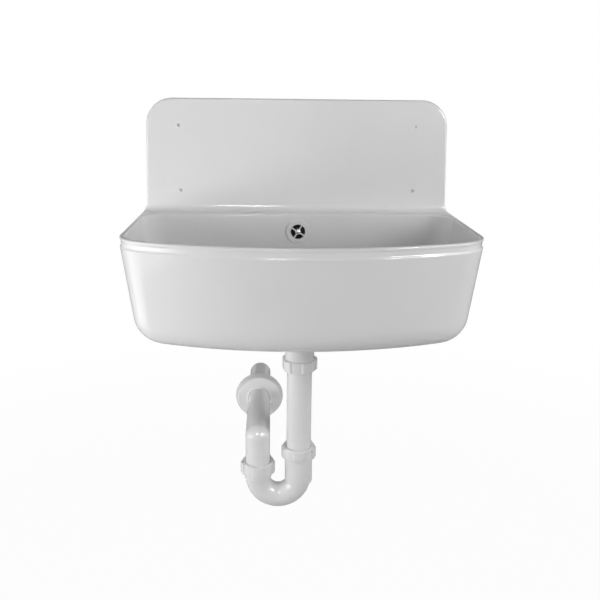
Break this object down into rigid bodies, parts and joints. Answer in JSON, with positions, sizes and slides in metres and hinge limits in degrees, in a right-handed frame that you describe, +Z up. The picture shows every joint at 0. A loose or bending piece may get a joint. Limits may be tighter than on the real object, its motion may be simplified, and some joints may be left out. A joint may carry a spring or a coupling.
{
  "type": "utility sink",
  "caption": "Wall-hung plastic utility sink with splashback, grille overflow, waste and a U-bend trap with slip nuts and an elbow through the wall.",
  "frame": {"origin": "middle of the four wall-fixing holes, on the wall plane", "axes": "+X right as seen from the front, +Y out of the back into the wall, +Z up"},
  "size_m": [0.5298, 0.47, 0.6584],
  "materials": {
    "basin_plastic": "moulded, satin gloss",
    "fitting_plastic": "moulded, satin gloss",
    "housing_plastic": "moulded, dark grey, satin",
    "ring_plastic": "smooth matt",
    "seal_rubber": "matt black",
    "stainless_steel": "fine satin",
    "insert_brass": "turned"
  },
  "bodies": {
    "sink": {"basin": "basin_plastic", "overflow_grille": "fitting_plastic", "overflow_screw": "stainless_steel", "overflow_gasket": "seal_rubber", "overflow_housing": "housing_plastic", "overflow_pipe": "fitting_plastic", "housing_seal": "seal_rubber", "housing_nut": "fitting_plastic", "port_seal": "seal_rubber", "port_nut": "fitting_plastic", "waste_strainer": "stainless_steel", "strainer_gasket": "seal_rubber", "waste_gasket": "seal_rubber", "waste_body": "fitting_plastic", "waste_insert": "insert_brass", "waste_screw": "stainless_steel", "union_washer": "seal_rubber", "tailpipe": "fitting_plastic"},
    "union_ring": {"union_glide_ring": "ring_plastic"},
    "union_nut": {"union_nut": "fitting_plastic"},
    "inlet_seal": {"inlet_seal": "seal_rubber"},
    "u_bend": {"u_bend": "fitting_plastic"},
    "inlet_ring": {"inlet_glide_ring": "ring_plastic"},
    "inlet_nut": {"inlet_nut": "fitting_plastic"},
    "outlet_ring": {"outlet_glide_ring": "ring_plastic"},
    "outlet_nut": {"outlet_nut": "fitting_plastic"},
    "outlet_seal": {"outlet_seal": "seal_rubber"},
    "outlet_elbow": {"outlet_elbow": "fitting_plastic"},
    "wall_rosette": {"wall_rosette": "fitting_plastic"}
  },
  "joints": [
    {"name": "union_nut_travel", "type": "slide", "parent": "sink", "child": "union_ring", "axis": [0, 0, -1], "range_m": [0, 0.0085]},
    {"name": "union_nut_turn", "type": "hinge", "parent": "union_ring", "child": "union_nut", "pos_m": [0, -0.172, -0.309], "axis": [0, 0, -1], "range_deg": [0, 1260]},
    {"name": "trap_height", "type": "slide", "parent": "sink", "child": "inlet_seal", "axis": [0, 0, -1], "range_m": [0, 0.03]},
    {"name": "trap_turn", "type": "hinge", "parent": "inlet_seal", "child": "u_bend", "pos_m": [0, -0.172, -0.48], "axis": [0, 0, 1], "continuous": true},
    {"name": "inlet_nut_travel", "type": "slide", "parent": "u_bend", "child": "inlet_ring", "axis": [0, 0, 1], "range_m": [0, 0.0095]},
    {"name": "inlet_nut_turn", "type": "hinge", "parent": "inlet_ring", "child": "inlet_nut", "pos_m": [0, -0.172, -0.46], "axis": [0, 0, 1], "range_deg": [0, 1440]},
    {"name": "outlet_nut_travel", "type": "slide", "parent": "u_bend", "child": "outlet_ring", "axis": [0, 0, 1], "range_m": [0, 0.0095]},
    {"name": "outlet_nut_turn", "type": "hinge", "parent": "outlet_ring", "child": "outlet_nut", "pos_m": [-0.067, -0.172, -0.487], "axis": [0, 0, 1], "range_deg": [0, 1440]},
    {"name": "outlet_turn", "type": "hinge", "parent": "u_bend", "child": "outlet_seal", "pos_m": [-0.067, -0.172, -0.487], "axis": [0, 0, 1], "range_deg": [-45, 225]},
    {"name": "outlet_height", "type": "slide", "parent": "outlet_seal", "child": "outlet_elbow", "axis": [0, 0, 1], "range_m": [0, 0.01]},
    {"name": "rosette_slide", "type": "slide", "parent": "outlet_elbow", "child": "wall_rosette", "axis": [0, -1, 0], "range_m": [0, 0.08]}
  ],
  "couplings": [
    {"joint": "union_nut_travel", "follows": "union_nut_turn", "m_per_rad": 0.0003675},
    {"joint": "inlet_nut_travel", "follows": "inlet_nut_turn", "m_per_rad": 0.0003675},
    {"joint": "outlet_nut_travel", "follows": "outlet_nut_turn", "m_per_rad": 0.0003675}
  ]
}
